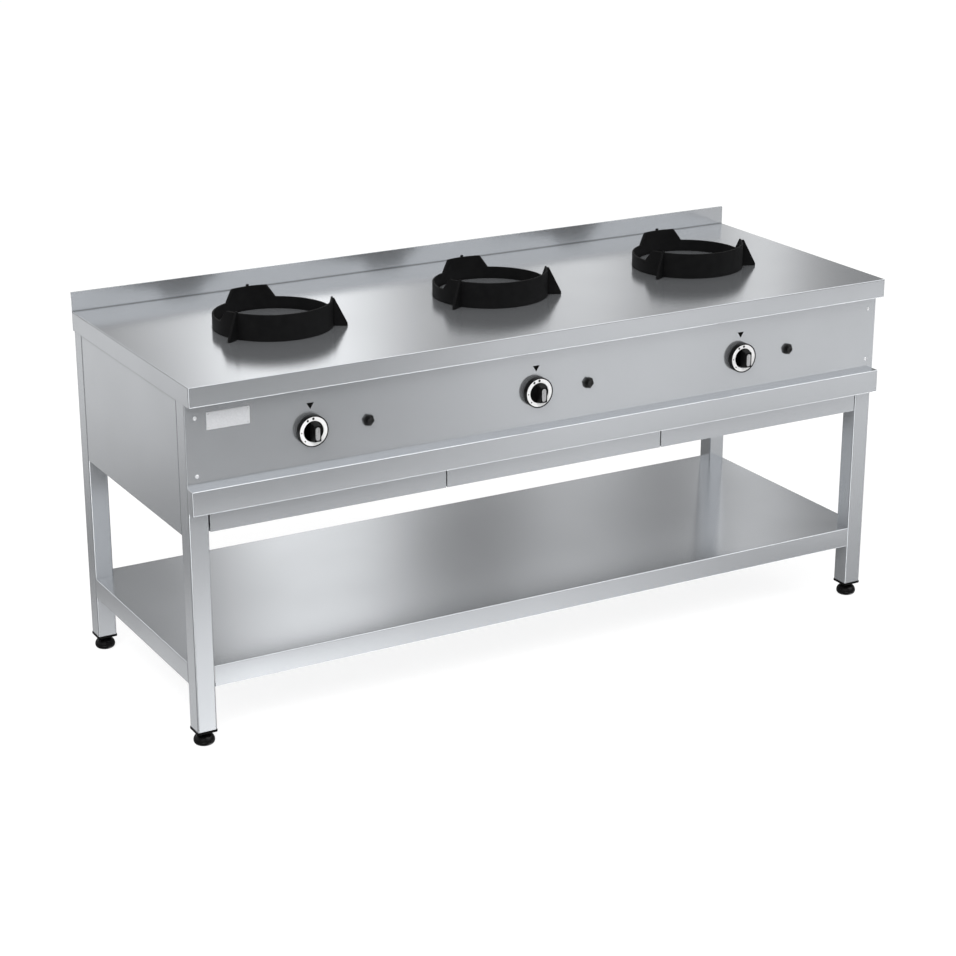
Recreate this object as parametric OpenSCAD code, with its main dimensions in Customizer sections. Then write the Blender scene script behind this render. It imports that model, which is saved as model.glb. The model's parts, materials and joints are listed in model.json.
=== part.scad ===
// Gas wok range with three places, on an open stainless stand with a lower shelf.
// Millimetres, +Z up, front towards -Y, origin on the floor under the middle of the range.

/* [Worktop] */
// Width of the worktop
worktop_w = 1600; // [1500:10:1800]
// Depth of the worktop, upstand included
worktop_d = 605; // [580:5:700]
// Height of the cooking surface above the floor
worktop_h = 733; // [720:1:900]
// Thickness of the worktop sheet
sheet_t = 1.5; // [1:0.1:2.5]
// Height of the apron folded down at the front and sides
apron_h = 40; // [30:1:60]
// Width of the return fold under the front apron
apron_return = 12; // [6:1:15]
// Height of the upstand along the back
upstand_h = 40; // [20:1:100]
// Height of the hem folded back along the top of the upstand
hem_h = 12; // [6:1:18]
// Diameter of the opening over each burner
hob_hole_d = 120; // [110:1:140]
// Height of the raised seat inside each ring
seat_rise = 4.5; // [3:0.5:8]
// Play between a ring and its seat
ring_play = 3; // [2:0.5:6]
// Distance of the last burner from the right end of the worktop
burner_end = 298; // [285:1:320]
// Offset of the burner row to the right of the middle
burner_shift = 7; // [-20:1:20]
// Distance of the burner row from the front edge
burner_setback = 310; // [290:1:330]

/* [Legs and feet] */
// Side of the square leg tube
leg_s = 40; // [35:1:50]
// Wall of the leg tube
leg_wall = 1.5; // [1:0.1:3]
// Outer corner radius of the leg tube
leg_corner_r = 3; // [2.5:0.5:5]
// Setback of the front legs behind the worktop edge
leg_setback = 26.5; // [20:0.5:40]
// Setback of the rear legs from the back of the worktop
leg_rear_gap = 5; // [4:0.5:15]
// Height of the end cap's flange under the tube
cap_flange_h = 4.5; // [2:0.5:6]
// How far the cap's flange stands proud of the tube
cap_overhang = 1.2; // [0.4:0.1:2]
// Height of the cap's plug inside the tube
cap_plug_h = 20; // [15:1:30]
// Largest diameter of a foot
foot_d = 42; // [34:1:60]
// Diameter of the flat that stands on the floor
foot_base_d = 27; // [20:1:30]
// Height of a foot from the floor to its cap
foot_h = 28; // [26:1:36]
// Height of the foot's dome
foot_dome_h = 22; // [16:1:24]
// Height of the widest point of the dome
foot_bulge_h = 8; // [6:1:12]
// Diameter of the neck above the dome
foot_neck_d = 14; // [12:1:18]
// Diameter of the screw stem
foot_stem_d = 10; // [8:1:11]
// Length of the screw stem above the neck
foot_stem_l = 48; // [44:1:60]

/* [Lower shelf] */
// Height of the shelf's top face above the floor
shelf_h = 165; // [130:1:250]
// Height of the shelf's folded edge
shelf_fold_h = 43; // [30:1:60]
// Thickness of the shelf sheet
shelf_t = 1.2; // [0.8:0.1:2]
// Width of the return fold under the shelf
shelf_return = 15; // [8:1:25]

/* [Panels] */
// Thickness of the front, side and back panels
panel_t = 1.2; // [0.8:0.1:2]
// Drop from the cooking surface to the lip of the control panel
panel_drop = 203; // [190:1:220]
// How far the lip stands out in front of the legs
lip_d = 22; // [16:1:25]
// Height of the lip's face
lip_h = 48.5; // [40:0.5:60]
// Width of the return fold under the lip
lip_return = 12; // [6:1:15]
// Drop from the cooking surface to the bottom of the side and back panels
side_drop = 307; // [300:1:330]
// How far the side panels lie behind the faces of the legs
side_recess = 1; // [0.5:0.5:4]
// Gap between the side panels and the front legs
side_gap = 2; // [1:0.5:4]
// How far the back panel lies behind the faces of the legs
back_recess = 15; // [12:1:20]
// Width of the panels' folded flanges
flange_w = 15; // [10:1:20]
// Drop from the cooking surface to the upper panel screws
upper_screw_drop = 68; // [60:1:80]
// Drop from the cooking surface to the lower panel screws
lower_screw_drop = 181; // [160:1:185]
// Diameter of a panel screw's head
screw_head_d = 8; // [6:0.5:10]
// Height of a panel screw's head
screw_head_h = 1.8; // [1:0.1:3]
// Diameter of a panel screw's shank
screw_d = 4; // [3:0.5:5]
// Length of a panel screw's shank
screw_l = 9; // [6:1:14]
// Width of the rating plate
rating_w = 87; // [60:1:110]
// Height of the rating plate
rating_h = 34; // [25:1:45]
// Thickness of the rating plate
rating_t = 0.6; // [0.3:0.1:1]
// Distance of the rating plate's middle from the panel's left end
rating_inset = 86; // [80:1:150]
// Drop from the cooking surface to the rating plate's middle
rating_drop = 77; // [70:1:90]

/* [Drip trays] */
// Gap beside each tray front
tray_gap = 2.5; // [2:0.5:5]
// Gap between the lip and the tray fronts
tray_drop = 1.5; // [1:0.5:3]
// Height of a tray front
tray_front_h = 42; // [38:1:44]
// Depth of a tray from front to back
tray_d = 480; // [400:10:500]
// Height of a tray's box
tray_box_h = 30; // [24:1:32]
// Thickness of the tray sheet
tray_t = 1.2; // [0.8:0.1:1.5]
// How far the box is set in from each end of its front
tray_side_in = 6; // [5:0.5:8]
// Height of the box's floor above the lower edge of its front
tray_floor_rise = 7.5; // [6:0.5:8]
// Thickness of the runner sheet
runner_t = 1.5; // [1:0.1:2]
// How far a runner's flange reaches under a tray
runner_lap = 6; // [4:0.5:10]
// Height of a side runner's web
runner_h = 28; // [20:1:32]
// Setback of the runners behind the front of the legs
runner_setback = 4; // [3:0.5:6]
// Height of the nose folded down at the front of a runner
runner_nose = 5; // [3:0.5:5]
// Overlap of a side runner on the rear leg
runner_leg_lap = 10; // [8:1:20]
// Width of the foot plates of the middle runners
runner_foot_w = 24; // [20:1:30]
// Height of the middle runners' riser above the lip
riser_h = 34; // [25:1:36]
// Depth of the middle runners' riser
riser_d = 25; // [20:1:40]

/* [Wok rings] */
// Outer diameter of a ring
ring_d = 240; // [220:1:300]
// Wall of a ring
ring_wall = 4; // [3:0.5:6]
// Height of the front wall and of the rear tab
ring_h = 53; // [45:1:70]
// Height of the ring between them
ring_low_h = 28; // [15:1:40]
// Half angle of the rear tab along its top
tab_top_a = 18; // [10:1:22]
// Half angle of the rear tab along its foot
tab_foot_a = 27; // [23:1:32]
// Angle from a front gusset to the end of the front wall, along its top
wall_top_a = 12; // [8:1:18]
// Angle from a front gusset to the end of the front wall, along its foot
wall_foot_a = 23; // [19:1:28]
// Height of a gusset
gusset_h = 56.5; // [54:0.5:80]
// How far a gusset's toe reaches outside the ring
gusset_reach = 28; // [15:1:40]
// Height of a gusset's toe
gusset_toe_h = 5; // [2:0.5:10]
// Width of a gusset's top outside the ring
gusset_top_w = 2; // [1:0.5:6]
// Thickness of a gusset
gusset_t = 5; // [3:0.5:8]

/* [Burners] */
// Diameter of a burner's head
burner_d = 108; // [100:1:109]
// Depth of the burner's cap below the cooking surface
burner_sink = 8; // [4:1:14]
// Height of a burner cap
burner_cap_h = 14; // [10:1:18]
// Width of a flame slot in the cap's rim
slot_w = 4; // [2:0.5:6]
// Height of a flame slot
slot_h = 6; // [4:0.5:8]
// Number of flame slots
slots = 20; // [12:1:28]
// Height of the burner's bowl
bowl_h = 46; // [42:1:50]
// Wall of the burner's castings
burner_wall = 5; // [4:0.5:7]
// Diameter of the burner's pedestal
pedestal_d = 50; // [40:1:60]
// Height of the burner's pedestal
pedestal_h = 25; // [20:1:30]
// Diameter of the mixing tube
mixer_d = 34; // [30:1:36]
// Height of the mixing tube above the bottom of the bowl
mixer_rise = 3; // [2:0.5:4]
// Length of the mixing tube from the burner's middle
mixer_l = 150; // [130:1:160]
// Width of a burner hanger
hanger_w = 44; // [40:1:60]
// Thickness of a burner hanger
hanger_t = 2.5; // [2:0.5:4]
// Half span of a burner hanger
hanger_half = 120; // [116:1:130]
// Width of the hanger's flanges under the worktop
hanger_flange = 20; // [15:1:30]
// Distance of the pilot group from the burner's middle
pilot_offset = 74; // [74:1:78]
// Distance of thermocouple and electrode from the pilot
pilot_side = 14; // [13:1:15]
// Diameter of the pilot's body
pilot_d = 12; // [8:1:14]
// Diameter of the pilot's hood
hood_d = 16; // [14:1:17]
// Height of the pilot's hood
hood_h = 12; // [8:1:16]
// Diameter of the thermocouple's probe
probe_d = 6; // [4:1:8]
// Diameter of the electrode's ceramic
ceramic_d = 8; // [6:1:10]
// Length of the electrode's tip
electrode_tip_l = 14; // [8:1:16]
// Diameter of the electrode's tip
electrode_tip_d = 2; // [1.5:0.5:3]

/* [Gas train] */
// Drop from the cooking surface to the knobs
control_drop = 127; // [120:1:135]
// Offset of a knob from its burner
knob_offset = -57; // [-70:1:-50]
// Offset of an igniter from its burner
igniter_offset = 64; // [55:1:65]
// Diameter of the valve stem
stem_d = 8; // [6:0.5:10]
// How far the stem reaches into the valve
stem_engage = 26; // [20:1:30]
// How far the stem reaches into the grip
stem_grip = 8; // [6:1:12]
// Diameter of the stem's shoulder
shoulder_d = 12; // [11:0.5:14]
// Thickness of the stem's shoulder
shoulder_t = 1.5; // [1:0.5:3]
// Diameter of the stem's collar
collar_d = 16; // [14:1:18]
// Thickness of the stem's collar
collar_t = 3; // [2:0.5:4]
// Gap between the panel and the collar
collar_gap = 1; // [0.5:0.5:2]
// Diameter of the stem's hole in the panel
stem_hole_d = 18; // [16:1:24]
// Travel of a knob when it is pushed
push_travel = 3; // [1:0.5:3]
// Width of a valve body
valve_w = 34; // [30:1:40]
// Height of a valve body
valve_h = 40; // [34:1:44]
// Depth of a valve body
valve_d = 36; // [34:1:44]
// Diameter of a valve's neck
neck_d = 20; // [18:1:24]
// Length of a valve's neck
neck_l = 6; // [4:1:10]
// Diameter of a valve's inlet
tail_d = 18; // [14:1:20]
// Length of a valve's inlet
tail_l = 5; // [3:1:8]
// Diameter of a valve's outlet nipple
nipple_d = 14; // [12:1:18]
// Height of a valve's outlet nipple
nipple_h = 8; // [5:1:12]
// Diameter of the manifold
manifold_d = 21.3; // [21:0.1:27]
// Wall of the manifold and the pipes
pipe_wall = 2; // [1.5:0.5:3]
// Diameter of a boss on the manifold
boss_d = 19; // [17:1:20]
// Distance from a boss's face to the manifold's axis
boss_l = 15; // [13:1:20]
// Length of the manifold beyond the first valve
manifold_over = 40; // [20:1:60]
// Bend radius of the manifold
manifold_bend = 30; // [24:1:40]
// Distance of the gas inlet from the right rear leg
inlet_side = 68.5; // [45:0.5:100]
// Diameter of the threaded inlet nipple
inlet_d = 20.96; // [20:0.01:20.96]
// Length of the threaded inlet nipple
inlet_l = 16; // [12:1:16]
// Distance of the inlet's end from the back of the worktop
inlet_inset = 2; // [1:0.5:2]
// Diameter of a supply pipe
supply_d = 10; // [8:1:12]
// Bend radius of a supply pipe
supply_bend = 14; // [12:1:18]
// Distance of a supply pipe's crossing from the mixing tube's mouth
supply_cross = 44; // [42:1:50]
// Diameter of an injector's body
injector_d = 16; // [14:1:20]
// Length of an injector's body
injector_l = 14; // [10:1:18]
// Diameter of an injector's nozzle
nozzle_d = 8; // [6:1:12]
// Distance of an injector's body from the mixing tube's mouth
injector_gap = 9; // [8:1:10]
// How far a nozzle reaches into the mixing tube
nozzle_in = 3; // [1:1:6]
// Diameter of a pilot tube
pilot_tube_d = 4; // [3:0.5:5]
// Bend radius of a pilot tube
pilot_bend = 8; // [6:0.5:8]
// Diameter of a lead
lead_d = 3; // [2:0.5:4]
// Bend radius of a lead
lead_bend = 4; // [3:0.5:4]
// Distance of an igniter lead's first bend behind the igniter
lead_out = 9; // [7:0.5:9.5]
// Drop of the igniter leads below the knobs
lead_drop = 22; // [18:1:24]
// Drop of the pilot tubes below the knobs
pilot_drop = 30; // [28:1:32]
// Drop of the thermocouple leads below the knobs
couple_drop = 37; // [36:1:42]
// Offset of the pilot tube and the thermocouple lead under a valve
valve_port = 8; // [6:1:12]
// Width of a manifold bracket
bracket_w = 30; // [20:1:40]
// Thickness of a manifold bracket
bracket_t = 2.2; // [1.5:0.1:3]
// Height of a manifold bracket's flange
bracket_h = 26; // [16:1:27]

/* [Knobs] */
// Diameter of a knob
knob_d = 62; // [56:1:72]
// Gap between a knob and the panel
knob_gap = 3.5; // [3.5:0.5:5]
// Depth of a knob's skirt
knob_h = 10; // [8:0.5:16]
// Width of the knob's rim around the dial
rim_w = 2.2; // [1:0.1:3]
// Inner diameter of the dial ring
dial_in_d = 41.5; // [38:0.5:44]
// Thickness of the dial ring
dial_t = 1; // [0.6:0.1:1.5]
// Depth of the dial's face below the rim
dial_sink = 0.5; // [0.2:0.1:1]
// Depth of the knob's centre below the rim
centre_sink = 3; // [2.5:0.5:5]
// Wall of the knob's skirt
skirt_wall = 3; // [2:0.5:4]
// Depth of the hollow behind the knob
hollow_h = 4; // [2:0.5:5]
// Diameter of the boss in the hollow
knob_boss_d = 18; // [14:1:24]
// Width of the grip
grip_w = 14; // [12:1:18]
// Height of the grip above the rim
grip_h = 18; // [12:1:22]
// Length of the grip at its foot
grip_foot_l = 40; // [34:1:41]
// Length of the grip at its front
grip_front_l = 31; // [28:1:36]
// Width of the silver insert
insert_w = 9.5; // [6:0.5:11]
// Length of the silver insert
insert_l = 26; // [20:1:27]
// Thickness of the silver insert
insert_t = 0.8; // [0.5:0.1:1.5]

/* [Igniters] */
// Diameter of an igniter's threaded barrel
barrel_d = 18; // [16:0.5:19]
// How far the barrel stands out of the panel
barrel_out = 6.5; // [6:0.5:8]
// Width of the igniter's nut across its flats
nut_af = 21; // [20.5:0.5:24]
// Height of the igniter's nut
nut_h = 5; // [4:0.5:6]
// Turn of the igniter's nut on its barrel
nut_turn = 12; // [0:1:30]
// Diameter of the button
button_d = 13; // [10:0.5:14]
// How far the button stands out of the panel
button_out = 11; // [11:0.5:16]
// Length of the button
button_l = 30; // [24:1:34]
// Diameter of the dish in the button's face
dish_d = 6; // [4:0.5:8]
// Depth of the dish in the button's face
dish_h = 1.2; // [0.5:0.1:2]
// Travel of the button
button_travel = 4; // [2:0.5:4]
// Diameter of the igniter's body
igniter_d = 24; // [22:1:30]
// Length of the igniter's body behind the panel
igniter_l = 45; // [40:1:48]

/* [Fit] */
// Radial clearance of pieces that turn or slide in each other
run_gap = 0.05; // [0.02:0.01:0.1]
// Clearance of loose seats
seat_gap = 0.3; // [0.2:0.05:0.5]
// Clearance at the end of a travel
stop_gap = 1; // [0.6:0.1:2]
// Overrun of cuts
cut = 1; // [0.5:0.5:2]

/* [Hidden] */
$fn = 64;
PLACES = ["left", "middle", "right"];
CORNERS = ["front_left", "front_right", "rear_left", "rear_right"];
function per(names, base) = [for (n = names) str(base, "_", n)];

// The knobs stand out past the worktop, and the origin lies midway between them and the back.
knob_face = knob_gap + knob_h;
grip_face = knob_face + grip_h;
knob_overreach = max(0, panel_t + grip_face - leg_setback);
front_y = (knob_overreach - worktop_d) / 2;
rear_y = front_y + worktop_d;
leg_front_y = front_y + leg_setback;
leg_rear_y = rear_y - leg_rear_gap;
panel_y = leg_front_y - panel_t;
burner_y = front_y + burner_setback;

// Half widths of the stand
half_w = worktop_w / 2;
leg_out_x = half_w - sheet_t;
leg_in_x = leg_out_x - leg_s;
leg_mid_x = leg_out_x - leg_s / 2;
burner_pitch = half_w - burner_end - burner_shift;
inlet_x = leg_in_x - inlet_side;

// Heights
under_z = worktop_h - sheet_t;
apron_z = worktop_h - apron_h;
leg_z = foot_h + cap_flange_h;
panel_top_z = under_z - seat_gap;
lip_top_z = worktop_h - panel_drop;
lip_z = lip_top_z - lip_h;
side_z = worktop_h - side_drop;
control_z = worktop_h - control_drop;

// Drip trays and runners
tray_w = (2 * leg_in_x - (len(PLACES) + 1) * tray_gap) / len(PLACES);
tray_pitch = tray_w + tray_gap;
tray_z = lip_z - tray_drop - tray_front_h;
tray_floor_z = tray_z + tray_floor_rise;
tray_box_w = tray_w - 2 * tray_side_in;
runner_z = tray_floor_z - seat_gap - runner_t;
runner_reach = tray_gap + tray_side_in + runner_lap;
mid_runner_reach = tray_gap / 2 + tray_side_in + runner_lap;
back_front_y = leg_rear_y - back_recess - panel_t;
riser_top_z = lip_top_z + riser_h;

// Wok rings
seat_d = ring_d - 2 * (ring_wall + ring_play);

// Burners
cap_z = worktop_h - burner_sink - burner_cap_h;
bowl_z = cap_z - bowl_h;
hanger_z = bowl_z - pedestal_h;
mixer_z = bowl_z + mixer_rise + mixer_d / 2;
mouth_y = burner_y - mixer_l;
hood_z = cap_z - hood_h;
electrode_z = cap_z - electrode_tip_l;

// Stations along a control's axis, counted outwards from the front of the panel
collar_v = -panel_t - collar_gap;
collar_back_v = collar_v - collar_t;
neck_v = collar_back_v - push_travel - stop_gap;
valve_v = neck_v - neck_l;
valve_back_v = valve_v - valve_d;
boss_v = valve_back_v - tail_l;
stem_tail_v = neck_v - stem_engage;
centre_v = knob_face - centre_sink;
stem_tip_v = centre_v + stem_grip;
manifold_y = panel_y - boss_v + boss_l;
valve_mid_y = panel_y - (valve_v + valve_back_v) / 2;
button_tail_v = button_out - button_l;
igniter_back_y = leg_front_y + igniter_l;

steel = "gainsboro";
satin = "silver";
black = "#1b1b1b";

function burner_x(i) = burner_shift + (i - 1) * burner_pitch;
function valve_x(i) = burner_x(i) + knob_offset;
function igniter_x(i) = burner_x(i) + igniter_offset;
function tray_x(i) = (i - 1) * tray_pitch;
function side(c) = c % 2 == 0 ? -1 : 1;
function leg_y(c) = c < 2 ? leg_front_y + leg_s / 2 : leg_rear_y - leg_s / 2;

module block(lo, hi) {
    translate(lo) cube(hi - lo);
}

module both_sides() {
    children();
    mirror([1, 0, 0]) children();
}

module round_square(s, r) {
    square([s, s - 2 * r], center = true);
    square([s - 2 * r, s], center = true);
    for (x = [-1, 1], y = [-1, 1]) translate([x * (s / 2 - r), y * (s / 2 - r)]) circle(r);
}

// A rod from one point to the next, and a run of them with round bends
module rod(a, b, r) {
    d = b - a;
    translate(a) rotate([0, acos(d.z / norm(d)), atan2(d.y, d.x)]) cylinder(r = r, h = norm(d));
}

module run(points, r, bend) {
    last = len(points) - 1;
    function way(i) = (points[i + 1] - points[i]) / norm(points[i + 1] - points[i]);
    for (i = [0 : last - 1])
        rod(points[i] + (i > 0 ? bend : 0) * way(i),
            points[i + 1] - (i < last - 1 ? bend : 0) * way(i), r);
    for (i = [1 : last - 1]) {
        x = -way(i);
        y = way(i - 1);
        z = cross(x, y);
        c = points[i] - bend * (x + y);
        multmatrix([[x.x, y.x, z.x, c.x], [x.y, y.y, z.y, c.y], [x.z, y.z, z.z, c.z], [0, 0, 0, 1]])
            rotate_extrude(angle = 90) translate([bend, 0]) circle(r);
    }
}

// Frame of a control: X to the right, Y up, Z out of the panel's front
module at_panel(x) {
    translate([x, panel_y, control_z]) rotate([90, 0, 0]) children();
}

module worktop() {
    color(steel) difference() {
        union() {
            block([-half_w, front_y, under_z], [half_w, rear_y - sheet_t, worktop_h]);
            block([-half_w, front_y, apron_z], [half_w, front_y + sheet_t, worktop_h]);
            block([-half_w, front_y, apron_z], [half_w, front_y + apron_return, apron_z + sheet_t]);
            both_sides()
                block([leg_out_x, front_y, apron_z], [half_w, rear_y - sheet_t, worktop_h]);
            block([-half_w, rear_y - 2 * sheet_t, apron_z],
                  [half_w, rear_y - sheet_t, worktop_h + upstand_h]);
            block([-half_w, rear_y - 2 * sheet_t, worktop_h + upstand_h - hem_h],
                  [half_w, rear_y, worktop_h + upstand_h]);
            for (i = [0 : 2]) translate([burner_x(i), burner_y, under_z])
                cylinder(d = seat_d, h = sheet_t + seat_rise);
        }
        for (i = [0 : 2]) translate([burner_x(i), burner_y, under_z - cut]) {
            cylinder(d = seat_d - 2 * sheet_t, h = seat_rise + cut);
            cylinder(d = hob_hole_d, h = sheet_t + seat_rise + 2 * cut);
        }
    }
}

module leg(c) {
    color(steel) difference() {
        translate([side(c) * leg_mid_x, leg_y(c), leg_z]) linear_extrude(under_z - leg_z)
            difference() {
                round_square(leg_s, leg_corner_r);
                round_square(leg_s - 2 * leg_wall, leg_corner_r - leg_wall);
            }
        if (c < 2) panel_screw_holes(side(c));
    }
}

module panel_screw_holes(s) {
    for (drop = [upper_screw_drop, lower_screw_drop])
        translate([s * leg_mid_x, panel_y - cut, worktop_h - drop]) rotate([-90, 0, 0])
            cylinder(d = screw_d + 2 * run_gap, h = panel_t + leg_wall + 2 * cut);
}

module leg_caps() {
    plug_s = leg_s - 2 * leg_wall - 2 * run_gap;
    color(black) for (c = [0 : 3]) translate([side(c) * leg_mid_x, leg_y(c), foot_h])
        difference() {
            union() {
                linear_extrude(cap_flange_h)
                    round_square(leg_s + 2 * cap_overhang, leg_corner_r + cap_overhang);
                linear_extrude(cap_flange_h + cap_plug_h)
                    round_square(plug_s, leg_corner_r - leg_wall);
            }
            translate([0, 0, -cut])
                cylinder(d = foot_stem_d + 2 * run_gap, h = cap_flange_h + cap_plug_h + 2 * cut);
        }
}

// Quarter of an ellipse between two points of a turned outline
function quarter(from, to, bulge_first) = [for (a = [0 : 10 : 90]) bulge_first
    ? [from.x + (to.x - from.x) * sin(a), to.y - (to.y - from.y) * cos(a)]
    : [to.x + (from.x - to.x) * cos(a), from.y + (to.y - from.y) * sin(a)]];

module foot(c) {
    dome = concat([[0, 0]],
        quarter([foot_base_d / 2, 0], [foot_d / 2, foot_bulge_h], true),
        quarter([foot_d / 2, foot_bulge_h], [foot_neck_d / 2, foot_dome_h], false),
        [[foot_neck_d / 2, foot_h], [foot_stem_d / 2, foot_h],
         [foot_stem_d / 2, foot_h + foot_stem_l], [0, foot_h + foot_stem_l]]);
    color(black) translate([side(c) * leg_mid_x, leg_y(c), 0]) rotate_extrude() polygon(dome);
}

module lower_shelf() {
    z0 = shelf_h - shelf_fold_h;
    legs_y = [leg_front_y + leg_s, leg_rear_y - leg_s];
    color(steel) {
        block([-leg_in_x, leg_front_y, shelf_h - shelf_t], [leg_in_x, leg_rear_y, shelf_h]);
        both_sides() {
            block([leg_in_x, legs_y[0], shelf_h - shelf_t], [leg_out_x, legs_y[1], shelf_h]);
            block([leg_out_x - shelf_t, legs_y[0], z0], [leg_out_x, legs_y[1], shelf_h]);
            block([leg_out_x - shelf_return, legs_y[0], z0], [leg_out_x, legs_y[1], z0 + shelf_t]);
        }
        for (y = [leg_front_y, leg_rear_y - shelf_t])
            block([-leg_in_x, y, z0], [leg_in_x, y + shelf_t, shelf_h]);
        for (y = [leg_front_y, leg_rear_y - shelf_return])
            block([-leg_in_x, y, z0], [leg_in_x, y + shelf_return, z0 + shelf_t]);
    }
}

module control_panel() {
    lip_y = leg_front_y - lip_d;
    color(steel) difference() {
        union() {
            block([-leg_out_x, panel_y, lip_top_z - panel_t], [leg_out_x, leg_front_y, panel_top_z]);
            block([-leg_out_x, lip_y, lip_top_z - panel_t], [leg_out_x, leg_front_y, lip_top_z]);
            block([-leg_out_x, lip_y, lip_z], [leg_out_x, lip_y + panel_t, lip_top_z]);
            block([-leg_out_x, lip_y, lip_z], [leg_out_x, lip_y + lip_return, lip_z + panel_t]);
            both_sides()
                block([leg_out_x - panel_t, lip_y, lip_z], [leg_out_x, leg_front_y, lip_top_z]);
        }
        for (s = [-1, 1]) panel_screw_holes(s);
        for (i = [0 : 2]) {
            at_panel(valve_x(i)) translate([0, 0, -panel_t - cut])
                cylinder(d = stem_hole_d, h = panel_t + 2 * cut);
            at_panel(igniter_x(i)) translate([0, 0, -panel_t - cut])
                cylinder(d = barrel_d + 2 * run_gap, h = panel_t + 2 * cut);
        }
    }
}

module panel_screws() {
    color(satin) for (s = [-1, 1], drop = [upper_screw_drop, lower_screw_drop])
        translate([s * leg_mid_x, panel_y, worktop_h - drop]) rotate([90, 0, 0]) {
            cylinder(d1 = screw_head_d, d2 = screw_d, h = screw_head_h);
            translate([0, 0, -screw_l]) cylinder(d = screw_d, h = screw_l);
        }
}

module rating_plate() {
    x = -leg_out_x + rating_inset;
    z = worktop_h - rating_drop;
    color("whitesmoke") block([x - rating_w / 2, panel_y - rating_t, z - rating_h / 2],
                              [x + rating_w / 2, panel_y, z + rating_h / 2]);
}

module side_panel() {
    x = leg_out_x - side_recess;
    y0 = leg_front_y + leg_s + side_gap;
    y1 = leg_rear_y - leg_s;
    color(steel) {
        block([x - panel_t, y0, side_z], [x, y1, panel_top_z]);
        block([x - flange_w, y0, side_z], [x, y1, side_z + panel_t]);
        for (y = [y0, y1 - panel_t]) block([x - flange_w, y, side_z], [x, y + panel_t, panel_top_z]);
    }
}

module back_panel() {
    y = leg_rear_y - back_recess;
    color(steel) difference() {
        union() {
            block([-leg_in_x, back_front_y, side_z], [leg_in_x, y, panel_top_z]);
            block([-leg_in_x, y - flange_w, side_z], [leg_in_x, y, side_z + panel_t]);
            both_sides()
                block([leg_in_x - panel_t, y - flange_w, side_z], [leg_in_x, y, panel_top_z]);
        }
        translate([inlet_x, back_front_y - cut, control_z]) rotate([-90, 0, 0])
            cylinder(d = manifold_d + 2 * seat_gap, h = panel_t + 2 * cut);
    }
}

// Angle runners on the legs, and two hanging runners between the trays
module tray_runners() {
    y0 = leg_front_y + runner_setback;
    nose_z = runner_z - runner_nose;
    web_top_z = runner_z + runner_h;
    color(satin) {
        both_sides() {
            y1 = leg_rear_y - leg_s + runner_leg_lap;
            block([leg_in_x - runner_t, y0, runner_z], [leg_in_x, y1, web_top_z]);
            block([leg_in_x - runner_reach, y0, runner_z], [leg_in_x, y1, runner_z + runner_t]);
            block([leg_in_x - runner_reach, y0, nose_z], [leg_in_x, y0 + runner_t, runner_z + runner_t]);
        }
        for (s = [-1, 1]) translate([s * tray_pitch / 2, 0, 0]) {
            block([-runner_t, y0, runner_z], [runner_t, back_front_y, web_top_z]);
            block([-mid_runner_reach, y0, runner_z],
                  [mid_runner_reach, back_front_y, runner_z + runner_t]);
            block([-mid_runner_reach, y0, nose_z], [mid_runner_reach, y0 + runner_t, runner_z + runner_t]);
            block([-runner_t, y0, runner_z], [runner_t, leg_front_y + riser_d, riser_top_z]);
            block([-runner_t, leg_front_y, lip_top_z],
                  [runner_t, leg_front_y + riser_d, riser_top_z]);
            block([-runner_foot_w / 2, leg_front_y, lip_top_z],
                  [runner_foot_w / 2, leg_front_y + runner_t, riser_top_z]);
            block([-runner_foot_w / 2, back_front_y - runner_t, runner_z],
                  [runner_foot_w / 2, back_front_y, web_top_z]);
        }
    }
}

module drip_tray(i) {
    box = tray_box_w / 2;
    color(steel) translate([tray_x(i), leg_front_y, 0]) {
        block([-tray_w / 2, 0, tray_z], [tray_w / 2, tray_t, tray_z + tray_front_h]);
        difference() {
            block([-box, 0, tray_floor_z], [box, tray_d, tray_floor_z + tray_box_h]);
            block([-box + tray_t, 2 * tray_t, tray_floor_z + tray_t],
                  [box - tray_t, tray_d - tray_t, tray_floor_z + tray_box_h + cut]);
        }
    }
}

// A band with two notches beside the rear tab, and three gussets
module wok_ring(i) {
    r = ring_d / 2;
    half_gap_a = 60;
    function chord(a) = (r - ring_wall / 2) * sin(half_gap_a - a);
    color(black) translate([burner_x(i), burner_y, worktop_h]) {
        difference() {
            cylinder(r = r, h = ring_h);
            translate([0, 0, -cut]) cylinder(r = r - ring_wall, h = ring_h + 2 * cut);
            both_sides() rotate([0, 0, 30]) translate([r / 2, 0, 0])
                rotate([90, 0, 90]) linear_extrude(r)
                    polygon([[-chord(wall_foot_a), ring_low_h], [chord(tab_foot_a), ring_low_h],
                             [chord(tab_top_a), ring_h + cut], [-chord(wall_top_a), ring_h + cut]]);
        }
        for (a = [-30, 90, 210]) rotate([0, 0, a]) rotate([90, 0, 0])
            translate([0, 0, -gusset_t / 2]) linear_extrude(gusset_t)
                polygon([[r - ring_wall / 2, 0], [r + gusset_reach, 0],
                         [r + gusset_reach, gusset_toe_h], [r + gusset_top_w, gusset_h],
                         [r - ring_wall / 2, gusset_h]]);
    }
}

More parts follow.
